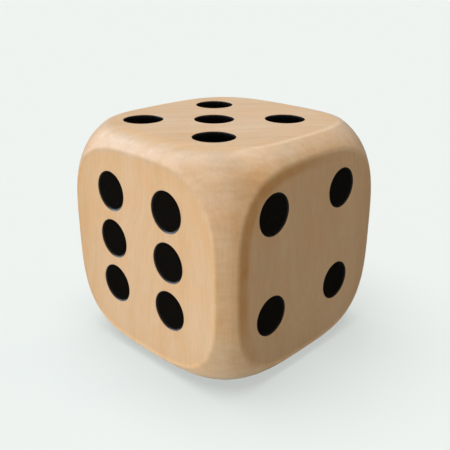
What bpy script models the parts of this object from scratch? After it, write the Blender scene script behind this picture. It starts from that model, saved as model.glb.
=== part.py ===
"""A giant wooden yard die: one solid block of pale hardwood with 21 black pips in drilled pockets.

The origin is the centre of the face that the die rests on, with +Z up.
"""

import math

import bmesh
import bpy
from mathutils import Matrix, Vector

# Driving dimensions, in metres.
SIDE = 0.0889  # across two opposite flat faces: a 3.5 inch die
POCKET_DIAMETER = 0.0155
POCKET_DEPTH = 0.0030
FIT_GAP = 0.0003  # between a pip and the wall and floor of its pocket
PIP_SINK = 0.0001  # the pip's rim lies this far below the wood
DISH_DEPTH = 0.0007  # the pip's flat centre lies this far below the wood
DISH_FLAT = 0.85  # radius of that flat centre, as a part of the pip's radius

# The block's rounding, with lengths in half sides. The block is a cube cut back by a superellipsoid
# |x|^n + |y|^n + |z|^n = reach^n, which leaves a flat face with a rounded-square outline on each side.
ROUNDING_POWER = 3.35
ROUNDING_REACH = 1.16
CREASE_BLEND = 0.01  # softens the crease between a flat face and the rounding

# Layout of the pips, in half sides from the centre of a face.
PIP_SPREAD = 0.435
SIX_COLUMN = 0.35
SIX_ROW = 0.43

# How far the drilled pattern sits off the centre of its face: to the right and up, in half sides.
CENTRED = (0.0, 0.0)
FOUR_SHIFT = (-0.05, 0.075)
FIVE_SHIFT = (-0.07, 0.055)
SIX_SHIFT = (0.0, 0.065)

# Mesh resolution.
SIDE_STEPS = 12  # points along one side of a flat face's outline
RING_STEPS = 6  # rings from that outline to the middle of the rounding
PIP_SEGMENTS = 24
DISH_STEPS = 4

HALF = SIDE / 2
POCKET_RADIUS = POCKET_DIAMETER / 2

DIAGONAL = [(-PIP_SPREAD, PIP_SPREAD), (PIP_SPREAD, -PIP_SPREAD)]
CORNERS = [(u, v) for v in (PIP_SPREAD, -PIP_SPREAD) for u in (-PIP_SPREAD, PIP_SPREAD)]
CENTRE = [(0.0, 0.0)]
COLUMNS = [(u, v) for u in (-SIX_COLUMN, SIX_COLUMN) for v in (SIX_ROW, 0.0, -SIX_ROW)]

# Each face: its name, outward normal, the direction that is up on it, its pips and their shift.
# Opposite faces add up to seven, and one, two and three run anticlockwise round their corner.
FACES = (
    ("one", Vector((1, 0, 0)), Vector((0, 0, 1)), CENTRE, CENTRED),
    ("two", Vector((0, 0, -1)), Vector((0, 1, 0)), DIAGONAL, CENTRED),
    ("three", Vector((0, 1, 0)), Vector((0, 0, 1)), DIAGONAL + CENTRE, CENTRED),
    ("four", Vector((0, -1, 0)), Vector((0, 0, 1)), CORNERS, FOUR_SHIFT),
    ("five", Vector((0, 0, 1)), Vector((0, 1, 0)), CORNERS + CENTRE, FIVE_SHIFT),
    ("six", Vector((-1, 0, 0)), Vector((0, 0, 1)), COLUMNS, SIX_SHIFT),
)


def clear_scene():
    for obj in list(bpy.data.objects):
        bpy.data.objects.remove(obj, do_unlink=True)


def add_object(name, mesh, parent, collection):
    obj = bpy.data.objects.new(name, mesh)
    obj.parent = parent
    collection.objects.link(obj)
    return obj


def principled(name, colour, roughness, metallic=0.0):
    material = bpy.data.materials.new(name)
    material.use_nodes = True
    material.diffuse_color = (*colour, 1.0)
    shader = material.node_tree.nodes["Principled BSDF"]
    shader.inputs["Base Color"].default_value = (*colour, 1.0)
    shader.inputs["Roughness"].default_value = roughness
    shader.inputs["Metallic"].default_value = metallic
    return material


def pale_hardwood():
    return principled("pale_hardwood", (0.68, 0.47, 0.29), 0.55)


def black_enamel():
    return principled("black_enamel", (0.006, 0.005, 0.004), 0.35)


def smooth_minimum(a, b, width):
    """The lower of a and b, with the step between them rounded off where they are within width."""
    overlap = max(width - abs(a - b), 0.0) / width
    return min(a, b) - overlap * overlap * width / 4


def power_sum(values):
    return sum(abs(value) ** ROUNDING_POWER for value in values)


def block_point(direction):
    """Where a direction, with 1 as its largest coordinate, meets the block: in half sides from its centre."""
    rounding = ROUNDING_REACH / power_sum(direction) ** (1 / ROUNDING_POWER)
    return direction * smooth_minimum(1.0, rounding, CREASE_BLEND)


def square_outline():
    """Points round the square from -1 to 1, at even angles as seen from the block's centre."""
    steps = [math.tan(math.pi / 4 * (2 * i / SIDE_STEPS - 1)) for i in range(SIDE_STEPS)]
    for turn in range(4):
        quarter = Matrix.Rotation(turn * math.pi / 2, 2)
        for step in steps:
            yield quarter @ Vector((step, -1.0))


def flat_outline_scale(corner):
    """How far in from a point of the square the flat face's outline lies, as a part of its distance."""
    reach = (ROUNDING_REACH / (1 + CREASE_BLEND)) ** ROUNDING_POWER - 1
    return (reach / power_sum(corner)) ** (1 / ROUNDING_POWER)


def face_axes(normal, up):
    """The rotation that takes +Z to a face's normal and +Y to the direction that is up on it."""
    return Matrix((up.cross(normal), up, normal)).transposed()


def add_block_face(bm, axes):
    """A flat face and the rings of the rounding round it, out to the middle of each edge."""
    rings = []
    for ring in range(RING_STEPS + 1):
        points = []
        for corner in square_outline():
            inner = flat_outline_scale(corner)
            scale = inner + (1 - inner) * ring / RING_STEPS
            direction = Vector((*(corner * scale), 1.0))
            points.append(bm.verts.new(axes @ block_point(direction) * HALF))
        rings.append(points)
    bm.faces.new(rings[0])
    for inside, outside in zip(rings, rings[1:]):
        for i in range(len(inside)):
            j = (i + 1) % len(inside)
            bm.faces.new((inside[i], outside[i], outside[j], inside[j]))


def block_mesh():
    bm = bmesh.new()
    for _, normal, up, _, _ in FACES:
        add_block_face(bm, face_axes(normal, up))
    bmesh.ops.remove_doubles(bm, verts=bm.verts, dist=1e-6)
    bmesh.ops.translate(bm, verts=bm.verts, vec=(0, 0, HALF))
    bmesh.ops.recalc_face_normals(bm, faces=bm.faces)
    mesh = bpy.data.meshes.new("wooden_block")
    bm.to_mesh(mesh)
    bm.free()
    return mesh


def turned_mesh(name, profile):
    """A solid of revolution about Z, from a profile of (radius, height) that starts and ends on the axis."""
    bm = bmesh.new()
    verts = [bm.verts.new((radius, 0.0, height)) for radius, height in profile]
    edges = [bm.edges.new(pair) for pair in zip(verts, verts[1:])]
    bmesh.ops.spin(
        bm,
        geom=verts + edges,
        cent=(0, 0, 0),
        axis=(0, 0, 1),
        angle=math.tau,
        steps=PIP_SEGMENTS,
        use_merge=True,
    )
    bmesh.ops.remove_doubles(bm, verts=bm.verts, dist=1e-6)
    bmesh.ops.recalc_face_normals(bm, faces=bm.faces)
    mesh = bpy.data.meshes.new(name)
    bm.to_mesh(mesh)
    bm.free()
    mesh.shade_smooth()
    mesh.set_sharp_from_angle(angle=math.radians(40))
    return mesh


def pocket_cutter_mesh():
    clear = POCKET_DEPTH / 2  # how far the cutter stands out of the wood
    profile = [(0, clear), (POCKET_RADIUS, clear), (POCKET_RADIUS, -POCKET_DEPTH), (0, -POCKET_DEPTH)]
    return turned_mesh("pocket_cutter", profile)


def pip_mesh():
    """A black disc with a flat centre, whose rim curls up to meet the wood."""
    radius = POCKET_RADIUS - FIT_GAP
    flat = DISH_FLAT * radius
    profile = [(0, -DISH_DEPTH)]
    for i in range(DISH_STEPS + 1):
        part = i / DISH_STEPS
        height = -DISH_DEPTH + (DISH_DEPTH - PIP_SINK) * part**2
        profile.append((flat + (radius - flat) * part, height))
    floor = FIT_GAP - POCKET_DEPTH
    profile += [(radius, floor), (0, floor)]
    return turned_mesh("pip", profile)


def pip_places():
    """The name of each pip, and the matrix that takes it from lying face up at the origin to its place."""
    for face, normal, up, layout, shift in FACES:
        axes = face_axes(normal, up)
        for number, (u, v) in enumerate(layout, start=1):
            on_face = Vector((u + shift[0], v + shift[1], 1))
            centre = Vector((0, 0, HALF)) + axes @ on_face * HALF
            name = f"{face}_pip_{number}" if len(layout) > 1 else f"{face}_pip"
            yield name, Matrix.Translation(centre) @ axes.to_4x4()


def cut_pockets(block, cutters):
    pockets = block.modifiers.new("pockets", "BOOLEAN")
    pockets.operation = "DIFFERENCE"
    pockets.solver = "EXACT"
    pockets.operand_type = "COLLECTION"
    pockets.collection = cutters


def main():
    clear_scene()
    scene = bpy.context.scene.collection
    cutters = bpy.data.collections.new("pocket_cutters")
    scene.children.link(cutters)
    die = add_object("yard_die", None, None, scene)

    block = add_object("wooden_block", block_mesh(), die, scene)
    block.data.materials.append(pale_hardwood())
    cut_pockets(block, cutters)

    pip = pip_mesh()
    pip.materials.append(black_enamel())
    cutter = pocket_cutter_mesh()
    for name, place in pip_places():
        add_object(name, pip, die, scene).matrix_world = place
        pocket = add_object(f"{name}_cutter", cutter, die, cutters)
        pocket.matrix_world = place
        pocket.hide_render = True
        pocket.display_type = "WIRE"


main()
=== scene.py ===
import math

import bmesh
import bpy
from mathutils import Matrix, Vector


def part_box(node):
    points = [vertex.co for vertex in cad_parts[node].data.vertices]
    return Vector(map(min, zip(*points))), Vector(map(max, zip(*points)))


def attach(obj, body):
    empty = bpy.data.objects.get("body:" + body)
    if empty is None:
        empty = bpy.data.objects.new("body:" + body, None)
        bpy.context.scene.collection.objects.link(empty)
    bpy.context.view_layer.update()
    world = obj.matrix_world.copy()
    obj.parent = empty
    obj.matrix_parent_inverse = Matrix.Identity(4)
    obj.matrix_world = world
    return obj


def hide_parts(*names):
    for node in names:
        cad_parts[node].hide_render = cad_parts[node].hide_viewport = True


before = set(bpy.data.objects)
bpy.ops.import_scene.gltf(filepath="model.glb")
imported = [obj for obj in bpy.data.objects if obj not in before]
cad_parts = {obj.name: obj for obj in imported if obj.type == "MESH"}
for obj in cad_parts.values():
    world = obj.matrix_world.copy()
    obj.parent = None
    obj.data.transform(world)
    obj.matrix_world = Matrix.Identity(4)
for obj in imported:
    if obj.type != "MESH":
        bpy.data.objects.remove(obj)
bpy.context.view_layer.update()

# The block's rounding, with lengths in half sides: a cube cut back by a superellipsoid.
ROUNDING_POWER = 3.35
ROUNDING_REACH = 1.16
CREASE_BLEND = 0.01  # softens the crease between a flat face and the rounding
TOP_CREASE_BLEND = 0.02  # the same, at the back of the top
SOFT_CREASE_BLEND = 0.055  # the same, at the top's edge above the six
SIDE_STEPS = 48
RING_STEPS = 20

# Pockets and pips, in metres.
FIT_GAP = 0.0003  # between the frame's pips and their pockets
POCKET_DEPTH = 0.0030
MOUTH_ROUND = 0.00012  # radius of the pocket's rounded mouth
PIP_CLEARANCE = 0.00001  # between the filling and the wood
PIP_SINK = 0.00013  # the filling's rim lies this far below the wood
DISH_DEPTH = 0.0007
DISH_FLAT = 0.85  # radius of the filling's flat centre, as a part of the filling's radius
PIP_SEGMENTS = 96
DISH_STEPS = 14
MOUTH_STEPS = 4

WOOD_COLOUR = (0.563, 0.349, 0.179, 1)
BLACK_COLOUR = (0.0036, 0.0029, 0.0022)
RIM_COLOUR = (0.03, 0.03, 0.032)
FILLING_PAINTED_LIGHT = {"four": 2.2, "five": 0.2, "six": 1.3}  # painted light and shade: the black is multiplied by this on these faces, lighter on the four, darker on the five

# The camera, with lengths in half sides: it looks down at the corner between the six and the four.
CAMERA_LENS = 50.0
CAMERA_AZIMUTH = 45.75
CAMERA_ELEVATION = 22.50
CAMERA_DISTANCE = 5.831
CAMERA_RIGHT = 0.0055
CAMERA_DOWN = 0.0038

# The studio: a pale backdrop that only the camera sees, a floor, and soft lights as wide suns.
BACKDROP = (0.863, 0.905, 0.880)
FLOOR_COLOUR = (0.651, 0.687, 0.677)
FLOOR_SIZE = 400  # in half sides, from the middle to an edge
FLOOR_GAP = 0.00005  # in metres, below the block

# Each sun: azimuth (0 is +X), elevation and width in degrees, strength, colour, whether it casts shadows,
# and whether it lights by diffuse and by glossy reflection.
SUNS = {
    "overhead": (134, 81, 60, 1.95, (1.0, 1.0, 1.0), True, True, False),
    "left": (168, 28, 40, 2.47, (1.0, 0.98, 0.95), False, True, False),
    "back_left": (118, 32, 40, 1.00, (1.0, 1.15, 1.35), False, True, True),
    "right": (330, 42, 40, 0.80, (1.0, 0.84, 0.60), False, True, False),
    "rim": (102, 12, 40, 0.50, (1.0, 1.0, 1.0), False, False, True),
}

LOWEST, HIGHEST = (Vector(corner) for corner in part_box("wooden_block"))
CENTRE = (LOWEST + HIGHEST) / 2
HALF = (HIGHEST.z - LOWEST.z) / 2
PIPS = sorted(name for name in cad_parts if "_pip" in name)

# Each face's outward normal, and the direction that is up on it.
FACES = (
    (Vector((1, 0, 0)), Vector((0, 0, 1))),
    (Vector((0, 0, -1)), Vector((0, 1, 0))),
    (Vector((0, 1, 0)), Vector((0, 0, 1))),
    (Vector((0, -1, 0)), Vector((0, 0, 1))),
    (Vector((0, 0, 1)), Vector((0, 1, 0))),
    (Vector((-1, 0, 0)), Vector((0, 0, 1))),
)


def smooth_minimum(a, b, width):
    """The lower of a and b, with the step between them rounded off where they are within width."""
    overlap = max(width - abs(a - b), 0.0) / width
    return min(a, b) - overlap * overlap * width / 4


def power_sum(values):
    return sum(abs(value) ** ROUNDING_POWER for value in values)


def block_point(direction, blend):
    """Where a direction, with 1 as its largest coordinate, meets the block, in half sides."""
    rounding = ROUNDING_REACH / power_sum(direction) ** (1 / ROUNDING_POWER)
    return direction * smooth_minimum(1.0, rounding, blend)


def smooth_step(value, start, end):
    """Rises smoothly from 0 to 1 as value goes from start to end."""
    part = min(max((value - start) / (end - start), 0.0), 1.0)
    return part * part * (3 - 2 * part)


def crease_blend(normal, corner):
    """The crease round a face, sharper or softer by where a point of the square outline lies."""
    if normal.z < 0.5:
        return CREASE_BLEND
    above_four = smooth_step(-corner.y, 0.6, 1.0) * smooth_step(abs(corner.x), 1.0, 0.5)
    above_six = smooth_step(-corner.x, 0.6, 1.0) * smooth_step(corner.y, 0.9, 0.2)
    blend = TOP_CREASE_BLEND + (CREASE_BLEND - TOP_CREASE_BLEND) * above_four
    return blend + (SOFT_CREASE_BLEND - TOP_CREASE_BLEND) * above_six * (1 - above_four)


def square_outline():
    """Points round the square from -1 to 1, at even angles as seen from the block's centre."""
    steps = [math.tan(math.pi / 4 * (2 * i / SIDE_STEPS - 1)) for i in range(SIDE_STEPS)]
    for turn in range(4):
        quarter = Matrix.Rotation(turn * math.pi / 2, 2)
        for step in steps:
            yield quarter @ Vector((step, -1.0))


def flat_outline_scale(corner, blend):
    """How far in from a point of the square the flat face's outline lies, as a part of its distance."""
    reach = (ROUNDING_REACH / (1 + blend)) ** ROUNDING_POWER - 1
    return (reach / power_sum(corner)) ** (1 / ROUNDING_POWER)


def face_axes(normal, up):
    """The rotation that takes +Z to a face's normal and +Y to the direction that is up on it."""
    return Matrix((up.cross(normal), up, normal)).transposed()


def pip_centre(name):
    """The middle of a pip's outer face, in the plane of the die's face."""
    lowest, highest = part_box(name)
    centre = (lowest + highest) / 2 - CENTRE
    axis = max(range(3), key=lambda i: abs(centre[i]))
    centre[axis] = math.copysign(HALF, centre[axis])
    return centre


def pip_radius(name):
    lowest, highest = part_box(name)
    return max(highest - lowest) / 2


def ring(bm, place, radius, height):
    """A ring of points about the Z axis of place."""
    turns = (math.tau * i / PIP_SEGMENTS for i in range(PIP_SEGMENTS))
    points = (Vector((radius * math.cos(turn), radius * math.sin(turn), height)) for turn in turns)
    return [bm.verts.new(place @ point) for point in points]


def bridge(bm, first, second):
    """A band of faces between two rings of points."""
    for i in range(len(first)):
        j = (i + 1) % len(first)
        bm.faces.new((first[i], first[j], second[j], second[i]))


def loop_edges(bm, verts):
    """The edges round a closed loop of points."""
    pairs = zip(verts, verts[1:] + verts[:1])
    return [bm.edges.get(pair) or bm.edges.new(pair) for pair in pairs]


def add_pocket(bm, place, radius):
    """A pocket with a slightly rounded mouth. Returns the ring of its mouth."""
    rings = []
    for i in range(MOUTH_STEPS + 1):
        turn = math.pi / 2 * i / MOUTH_STEPS
        out = MOUTH_ROUND * (1 - math.sin(turn))
        down = MOUTH_ROUND * (1 - math.cos(turn))
        rings.append(ring(bm, place, radius + out, -down))
    rings.append(ring(bm, place, radius, -POCKET_DEPTH))
    for upper, lower in zip(rings, rings[1:]):
        bridge(bm, upper, lower)
    bm.faces.new(rings[-1])
    return rings[0]


def add_block_face(bm, axes, pockets):
    """One side of the block. Returns the points that lie in its flat face."""
    rings = []
    for step in range(RING_STEPS + 1):
        points = []
        for corner in square_outline():
            blend = crease_blend(axes.col[2], corner)
            inner = flat_outline_scale(corner, blend)
            scale = inner + (1 - inner) * step / RING_STEPS
            direction = Vector((*(corner * scale), 1.0))
            points.append(bm.verts.new(axes @ block_point(direction, blend) * HALF + CENTRE))
        rings.append(points)
    for inside, outside in zip(rings, rings[1:]):
        bridge(bm, outside, inside)
    mouths = [add_pocket(bm, place, radius) for place, radius in pockets]
    edges = loop_edges(bm, rings[0])
    for mouth in mouths:
        edges += loop_edges(bm, mouth)
    bmesh.ops.triangle_fill(bm, use_beauty=True, edges=edges, normal=axes.col[2])
    return rings[0] + [vert for mouth in mouths for vert in mouth]


def block_mesh():
    """The block with its pockets, whose flat faces keep their own normals."""
    bm = bmesh.new()
    flat = bm.verts.layers.float_vector.new("flat")
    for normal, up in FACES:
        axes = face_axes(normal, up)
        pockets = []
        for name in PIPS:
            centre = pip_centre(name)
            if centre.dot(normal) > 0.99 * HALF:
                place = Matrix.Translation(CENTRE + centre) @ axes.to_4x4()
                pockets.append((place, pip_radius(name) + FIT_GAP))
        for vert in add_block_face(bm, axes, pockets):
            vert[flat] = normal
    bmesh.ops.remove_doubles(bm, verts=bm.verts, dist=1e-7)
    bmesh.ops.recalc_face_normals(bm, faces=bm.faces)
    bm.normal_update()
    normals = [Vector(vert[flat] if vert[flat].length > 0.5 else vert.normal) for vert in bm.verts]
    bm.verts.layers.float_vector.remove(flat)
    mesh = bpy.data.meshes.new("wood")
    bm.to_mesh(mesh)
    bm.free()
    mesh.shade_smooth()
    mesh.normals_split_custom_set_from_vertices(normals)
    return mesh


def pip_mesh(radius):
    """The filling of a pocket: a disc with a flat centre, whose rim curls up to meet the wood."""
    bm = bmesh.new()
    level = Matrix.Identity(4)
    flat = DISH_FLAT * radius
    rings = []
    for i in range(DISH_STEPS + 1):
        part = i / DISH_STEPS
        height = -DISH_DEPTH + (DISH_DEPTH - PIP_SINK) * part**2
        rings.append(ring(bm, level, flat + (radius - flat) * part, height))
    rings.append(ring(bm, level, radius, -POCKET_DEPTH + PIP_CLEARANCE))
    for inner, outer in zip(rings, rings[1:]):
        bridge(bm, outer, inner)
    bm.faces.new(rings[0])
    bm.faces.new(rings[-1])
    bmesh.ops.recalc_face_normals(bm, faces=bm.faces)
    mesh = bpy.data.meshes.new("pip")
    bm.to_mesh(mesh)
    bm.free()
    mesh.shade_smooth()
    mesh.set_sharp_from_angle(angle=math.radians(50))
    return mesh


class Nodes:
    """Adds nodes to a material and links them, so that a material reads as a sum of steps."""

    def __init__(self, material):
        material.use_nodes = True
        self.tree = material.node_tree
        self.shader = self.tree.nodes["Principled BSDF"]

    def add(self, kind, inputs=None, **settings):
        node = self.tree.nodes.new(kind)
        for key, value in settings.items():
            setattr(node, key, value)
        self.put(node, inputs or {})
        return node

    def put(self, node, inputs):
        for key, value in inputs.items():
            if isinstance(value, bpy.types.NodeSocket):
                self.tree.links.new(value, node.inputs[key])
            else:
                node.inputs[key].default_value = value

    def scaled(self, vector, scale):
        node = self.add("ShaderNodeVectorMath", {"Vector": vector, "Scale": scale}, operation="SCALE")
        return node.outputs[0]

    def math(self, operation, *values):
        return self.add("ShaderNodeMath", dict(enumerate(values)), operation=operation).outputs[0]

    def vector(self, operation, *values):
        return self.add("ShaderNodeVectorMath", dict(enumerate(values)), operation=operation).outputs[0]

    def noise(self, place, stretch, detail):
        """Noise from about -1 to 1, with stretch waves in a half side along each axis."""
        inputs = {"Vector": self.vector("MULTIPLY", place, stretch), "Scale": 1.0, "Detail": detail}
        value = self.add("ShaderNodeTexNoise", inputs).outputs["Fac"]
        return self.math("MULTIPLY_ADD", value, 3.0, -1.5)

    def step(self, value, start, end):
        """Rises smoothly from 0 to 1 as value goes from start to end."""
        inputs = {"Value": value, "From Min": start, "From Max": end}
        return self.add("ShaderNodeMapRange", inputs, interpolation_type="SMOOTHSTEP").outputs["Result"]

    def product(self, first, *others):
        for value in others:
            first = self.math("MULTIPLY", first, value)
        return first

    def tint(self, colour, amount, factor):
        """Multiplies a colour by a factor, as far as amount says."""
        inputs = {0: amount, 6: colour, 7: (*factor, 1)}
        node = self.add("ShaderNodeMix", inputs, data_type="RGBA", blend_type="MULTIPLY")
        node.clamp_factor = False
        return node.outputs[2]

    def bump(self, height, distance, strength):
        inputs = {"Height": height, "Distance": distance, "Strength": strength}
        self.put(self.shader, {"Normal": self.add("ShaderNodeBump", inputs).outputs["Normal"]})


def wood_material():
    """Pale close-grained hardwood: growth rings across the front edge, fibres upright."""
    material = bpy.data.materials.new("pale_hardwood")
    nodes = Nodes(material)
    position = nodes.add("ShaderNodeTexCoord").outputs["Object"]
    place = nodes.scaled(nodes.vector("SUBTRACT", position, CENTRE), 1 / HALF)

    # Turned so that X runs across the rings, Y along them and Z along the fibres, and bent a little.
    turned = nodes.add("ShaderNodeVectorRotate", {"Vector": place, "Angle": math.radians(-45)}).outputs[0]
    sway = nodes.noise(turned, (0.5, 1.1, 0.7), 1.0)
    across, along, upright = nodes.add("ShaderNodeSeparateXYZ", {0: turned}).outputs
    bent = nodes.math("MULTIPLY_ADD", sway, 0.14, nodes.math("MULTIPLY_ADD", upright, 0.10, across))
    grain = nodes.add("ShaderNodeCombineXYZ", {0: bent, 1: along, 2: upright}).outputs[0]
    figure = nodes.noise(grain, (4.5, 0.8, 0.5), 2.0)
    rings = nodes.noise(grain, (17.0, 1.4, 0.8), 3.0)
    fibres = nodes.noise(grain, (46.0, 46.0, 6.0), 3.0)
    flecks = nodes.noise(turned, (14.0, 8.0, 26.0), 4.0)
    clouds = nodes.noise(place, (1.7, 1.7, 1.3), 2.0)
    blots = nodes.noise(place, (7.0, 7.0, 5.0), 2.0)

    # Reach is about 1 at a face's centre, 1.59 at the edge of its flat part and 1.64 on the rounding.
    x, y, z = nodes.add("ShaderNodeSeparateXYZ", {0: nodes.vector("ABSOLUTE", place)}).outputs
    signed_x, _, signed_z = nodes.add("ShaderNodeSeparateXYZ", {0: place}).outputs
    powers = [nodes.math("POWER", value, ROUNDING_POWER) for value in (x, y, z)]
    reach = nodes.math("ADD", nodes.math("ADD", *powers[:2]), powers[2])

    # The rounding as a whole, its parts round the top and the bottom, and its upright edges at the front
    # and the back. Outer is the part of the block, faces and all, near its other two upright edges.
    band = nodes.step(reach, 1.54, 1.62)
    upper = nodes.product(band, nodes.step(signed_z, 0.55, 0.90))
    lower = nodes.product(band, nodes.step(signed_z, -0.60, -0.90))
    above_four = nodes.product(upper, nodes.step(y, 0.6, 0.9), nodes.step(x, 0.85, 0.5))
    edge = nodes.product(band, nodes.step(nodes.math("ABSOLUTE", across), 1.15, 1.33))
    edge_top = nodes.product(edge, nodes.step(signed_z, 0.22, 0.48))
    outer = nodes.step(nodes.math("ABSOLUTE", along), 1.05, 1.30)

    # End grain on the top and the bottom, tinted paler and bluer as painted cool light from above, and
    # painted shade, warmer and darker, on the four's and the three's faces.
    end_grain_and_cool_light = nodes.step(z, 0.85, 0.98)
    end_rings = nodes.product(rings, end_grain_and_cool_light, nodes.step(reach, 1.62, 1.50))
    lead = nodes.math("SUBTRACT", y, nodes.math("MAXIMUM", x, z))
    four_and_three_shade = nodes.product(nodes.step(lead, 0.0, 0.10), nodes.math("MULTIPLY_ADD", band, -0.5, 1.0))

    # Painted shade in the creases: darker and orange-brown, strongest beside the front edge on the four,
    # in uneven patches.
    crease = nodes.product(nodes.step(reach, 1.37, 1.47), nodes.step(reach, 1.65, 1.59))
    corner = nodes.math("MULTIPLY_ADD", signed_x, -0.85, nodes.math("MULTIPLY", signed_z, 0.45))
    front_edge_shade = nodes.product(nodes.step(lead, 0.0, 0.05), nodes.step(corner, 0.1, 0.65))
    uneven = nodes.math("MULTIPLY_ADD", blots, 0.6, nodes.step(clouds, -1.7, -0.2))
    crease_shade = nodes.product(crease, nodes.math("ADD", front_edge_shade, 0.08), uneven)

    band_flecks = nodes.product(flecks, band)
    # Grain, figure, rings, fibres, flecks and random tones are the wood's own; the tints by place are
    # painted light and shade.
    tints = (
        (figure, (0.975, 0.945, 0.865)),
        (clouds, (0.995, 0.935, 0.84)),
        (blots, (1.02, 0.965, 0.90)),
        (rings, (0.965, 0.94, 0.885)),
        (end_rings, (0.94, 0.91, 0.85)),
        # the end grain of the top and the bottom, paler and bluer: partly painted cool light from above
        (end_grain_and_cool_light, (1.015, 1.08, 1.165)),
        (fibres, (0.955, 0.935, 0.91)),
        (band_flecks, (0.92, 0.895, 0.86)),
        # a paler, bluer painted highlight on the rounding round the top, more where it meets the upright
        # edges
        (upper, (0.911, 0.994, 1.184)),
        (nodes.product(upper, edge), (1.01, 1.055, 1.17)),
        # painted light on the rounding above the four
        (above_four, (1.34, 1.33, 1.31)),
        # painted light from the floor on the rounding round the bottom
        (lower, (1.26, 1.25, 1.18)),
        # painted light on the upright edges
        (edge, (1.06, 1.04, 1.00)),
        # the wood's own figure, stronger on the upright edges
        (nodes.product(figure, edge), (0.95, 0.93, 0.89)),
        # a bluer painted highlight on the upper parts of the upright edges
        (edge_top, (1.01, 1.07, 1.27)),
        # painted shade, warmer, near the block's other two upright edges, deeper on their rounding
        (outer, (0.95, 0.90, 0.79)),
        (nodes.product(band, outer), (0.935, 0.875, 0.795)),
        # painted shade, warmer and darker, on the four's and the three's faces
        (four_and_three_shade, (0.92, 0.835, 0.665)),
        # painted shade in the creases
        (crease_shade, (0.92, 0.75, 0.38)),
    )
    colour = WOOD_COLOUR
    for amount, factor in tints:
        colour = nodes.tint(colour, amount, factor)

    texture = nodes.math("MULTIPLY_ADD", band_flecks, 0.6, fibres)
    roughness = nodes.math("MULTIPLY_ADD", texture, 0.05, 0.50)
    roughness = nodes.math("MULTIPLY_ADD", band, -0.06, roughness)
    nodes.put(nodes.shader, {"Base Color": colour, "Roughness": roughness, "Specular IOR Level": 0.5})
    nodes.put(nodes.shader, {"Sheen Weight": 0.3, "Sheen Roughness": 0.5})
    nodes.bump(texture, 0.00005, 0.5)
    return material


def black_material(radius, painted_light):
    """Black enamel brushed into a pocket: thinner and greyer at the rim, slightly uneven. Its black is
    scaled per face as painted light and shade.
    """
    material = bpy.data.materials.new("black_enamel")
    nodes = Nodes(material)
    position = nodes.add("ShaderNodeTexCoord").outputs["Object"]
    place = nodes.scaled(position, 1 / radius)
    flat = nodes.vector("MULTIPLY", place, (1.0, 1.0, 0.0))
    out = nodes.add("ShaderNodeVectorMath", {0: flat}, operation="LENGTH").outputs["Value"]
    brushed = nodes.noise(place, (2.5, 9.0, 4.0), 2.0)
    grit = nodes.noise(place, (30.0, 30.0, 30.0), 2.0)
    rim = nodes.product(nodes.step(out, 0.90, 1.0), nodes.step(brushed, -1.2, 0.4))
    # painted light and shade: the black scaled for this face
    black = [painted_light * channel for channel in BLACK_COLOUR]
    inputs = {0: rim, 6: (*black, 1), 7: (*RIM_COLOUR, 1)}
    worn = nodes.add("ShaderNodeMix", inputs, data_type="RGBA").outputs[2]
    colour = nodes.tint(worn, brushed, (0.90, 0.90, 0.90))
    roughness = nodes.math("MULTIPLY_ADD", brushed, 0.04, nodes.math("MULTIPLY_ADD", grit, 0.02, 0.24))
    nodes.put(nodes.shader, {"Base Color": colour, "Roughness": roughness, "Specular IOR Level": 0.5})
    nodes.bump(nodes.math("MULTIPLY_ADD", brushed, 0.5, grit), 0.00003, 0.3)
    return material


def add_piece(name, mesh, material, place, slot, *nodes):
    """Adds one piece of the die, which replaces nodes of the frame."""
    piece = bpy.data.objects.new(name, mesh)
    bpy.context.scene.collection.objects.link(piece)
    piece.matrix_world = place
    if not mesh.materials:
        mesh.materials.append(material)
    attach(piece, "root")
    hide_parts(*nodes)
    return piece


def add_die():
    upright = Matrix.Identity(4)
    block = add_piece("die_block", block_mesh(), wood_material(), upright, "pale_hardwood", "wooden_block")
    block.visible_diffuse = False  # so that the floor's shadow stays neutral
    block.visible_glossy = False  # so that the pips stay black
    radius = pip_radius(PIPS[0]) + FIT_GAP - PIP_CLEARANCE
    fillings = {}
    for name in PIPS:
        centre = pip_centre(name)
        normal, up = max(FACES, key=lambda face: face[0].dot(centre))
        place = Matrix.Translation(CENTRE + centre) @ face_axes(normal, up).to_4x4()
        face = name.split("_")[0]
        # each face's fillings share one copy of the black, lightened or darkened as painted light and
        # shade
        if face not in fillings:
            fillings[face] = pip_mesh(radius), black_material(radius, FILLING_PAINTED_LIGHT.get(face, 1.0))
        add_piece(f"{name}_fill", *fillings[face], place, "black_enamel", name)


def add_world():
    world = bpy.data.worlds.new("studio")
    bpy.context.scene.world = world
    world.use_nodes = True
    background = world.node_tree.nodes["Background"]
    background.inputs["Color"].default_value = (*BACKDROP, 1)
    for ray in ("diffuse", "glossy", "transmission", "scatter"):
        setattr(world.cycles_visibility, ray, False)


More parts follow.
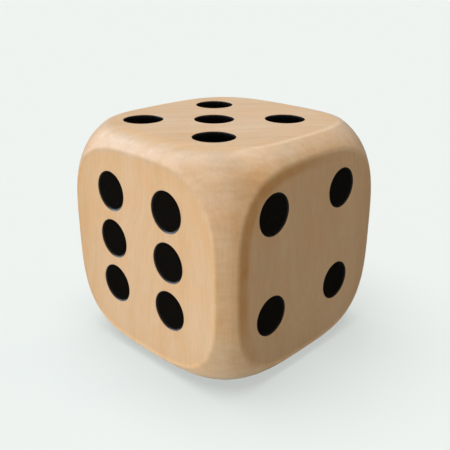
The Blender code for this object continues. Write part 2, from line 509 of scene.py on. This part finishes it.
def add_suns():
    for name, (azimuth, elevation, width, strength, colour, shadow, diffuse, glossy) in SUNS.items():
        data = bpy.data.lights.new(name, "SUN")
        data.angle = math.radians(width)
        data.energy = strength
        data.color = colour
        data.use_shadow = shadow
        sun = bpy.data.objects.new(name, data)
        sun.visible_diffuse = diffuse
        sun.visible_glossy = glossy
        bpy.context.scene.collection.objects.link(sun)
        turn = Matrix.Rotation(math.radians(azimuth), 4, "Z")
        lean = Matrix.Rotation(math.radians(90 - elevation), 4, "Y")
        sun.matrix_world = turn @ lean


def add_floor():
    bm = bmesh.new()
    bmesh.ops.create_grid(bm, x_segments=1, y_segments=1, size=FLOOR_SIZE * HALF)
    mesh = bpy.data.meshes.new("floor")
    bm.to_mesh(mesh)
    bm.free()
    floor = bpy.data.objects.new("floor", mesh)
    floor.location.z = LOWEST.z - FLOOR_GAP
    floor.visible_glossy = False
    bpy.context.scene.collection.objects.link(floor)
    material = bpy.data.materials.new("pale_floor")
    material.use_nodes = True
    shader = material.node_tree.nodes["Principled BSDF"]
    shader.inputs["Base Color"].default_value = (*FLOOR_COLOUR, 1)
    shader.inputs["Roughness"].default_value = 1.0
    shader.inputs["Specular IOR Level"].default_value = 0.0
    mesh.materials.append(material)


def add_camera():
    data = bpy.data.cameras.new("camera")
    data.lens = CAMERA_LENS
    camera = bpy.data.objects.new("camera", data)
    bpy.context.scene.collection.objects.link(camera)
    azimuth, elevation = math.radians(CAMERA_AZIMUTH), math.radians(CAMERA_ELEVATION)
    ahead = Vector((math.sin(azimuth), math.cos(azimuth), 0)) * math.cos(elevation)
    ahead.z = -math.sin(elevation)
    right = ahead.cross(Vector((0, 0, 1))).normalized()
    above = right.cross(ahead)
    offset = CAMERA_RIGHT * right - CAMERA_DOWN * above - CAMERA_DISTANCE * ahead
    camera.location = CENTRE + HALF * offset
    camera.rotation_euler = (-ahead).to_track_quat("Z", "Y").to_euler()
    bpy.context.scene.camera = camera


bpy.context.scene.view_settings.view_transform = "Standard"
add_die()
add_world()
add_suns()
add_floor()
add_camera()
